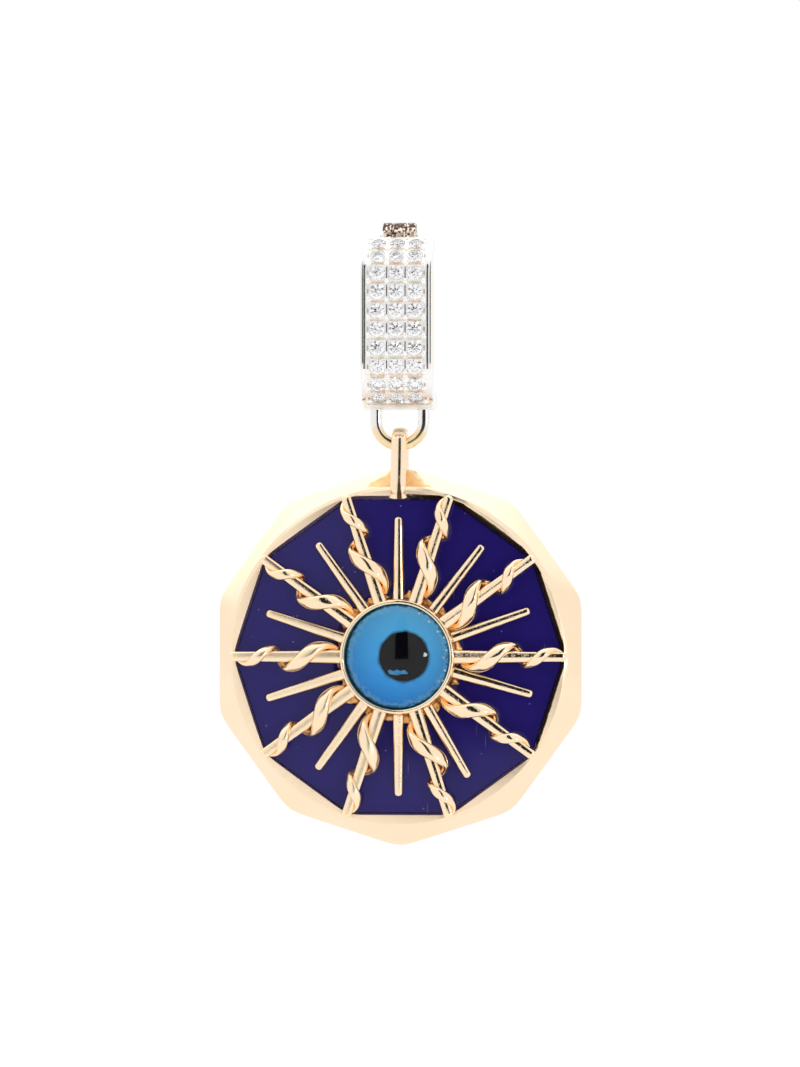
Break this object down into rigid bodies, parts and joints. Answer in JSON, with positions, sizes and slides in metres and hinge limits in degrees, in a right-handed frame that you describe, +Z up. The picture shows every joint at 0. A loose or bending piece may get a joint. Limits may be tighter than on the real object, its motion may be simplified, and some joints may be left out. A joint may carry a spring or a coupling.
{
  "type": "evil eye pendant",
  "caption": "Faceted gold medallion with a blue inlay, wire-wrapped sunburst and domed glass eye, hanging on a U-loop from a hinged bail paved with white stones.",
  "frame": {"origin": "the highest point inside the bail, under its hinge barrel, where the chain carries it", "axes": "+Z up as it hangs, front face towards -Y, +X to the right seen from the front"},
  "size_m": [0.0242, 0.0068, 0.0416],
  "materials": {
    "yellow_gold": "polished yellow gold",
    "white_gold": "polished, rhodium plated",
    "white_stone": "brilliant cut",
    "blue_enamel": "glossy",
    "blue_glass": "glossy",
    "black_glass": "glossy",
    "clear_glass": "polished dome"
  },
  "bodies": {
    "bail": {"bail_front": "white_gold", "hinge_pin": "yellow_gold", "stone_01_1": "white_stone", "stone_01_2": "white_stone", "stone_01_3": "white_stone", "stone_02_1": "white_stone", "stone_02_2": "white_stone", "stone_02_3": "white_stone", "stone_03_1": "white_stone", "stone_03_2": "white_stone", "stone_03_3": "white_stone", "stone_04_1": "white_stone", "stone_04_2": "white_stone", "stone_04_3": "white_stone", "stone_05_1": "white_stone", "stone_05_2": "white_stone", "stone_05_3": "white_stone", "stone_06_1": "white_stone", "stone_06_2": "white_stone", "stone_06_3": "white_stone", "stone_07_1": "white_stone", "stone_07_2": "white_stone", "stone_07_3": "white_stone", "stone_08_1": "white_stone", "stone_08_2": "white_stone", "stone_08_3": "white_stone", "stone_09_1": "white_stone", "stone_09_2": "white_stone", "stone_09_3": "white_stone", "stone_10_1": "white_stone", "stone_10_2": "white_stone", "stone_10_3": "white_stone"},
    "gate": {"gate": "yellow_gold"},
    "medallion": {"case": "yellow_gold", "inlay": "blue_enamel", "sunburst": "yellow_gold", "eye_iris": "blue_glass", "eye_pupil": "black_glass", "eye_glass": "clear_glass"}
  },
  "joints": [
    {"name": "gate_hinge", "type": "hinge", "parent": "bail", "child": "gate", "pos_m": [0, 0, 0.001], "axis": [1, 0, 0], "range_deg": [0, 90]},
    {"name": "medallion_swing", "type": "hinge", "parent": "bail", "child": "medallion", "pos_m": [0, 0, -0.0128], "axis": [1, 0, 0], "range_deg": [-100, 100]}
  ]
}
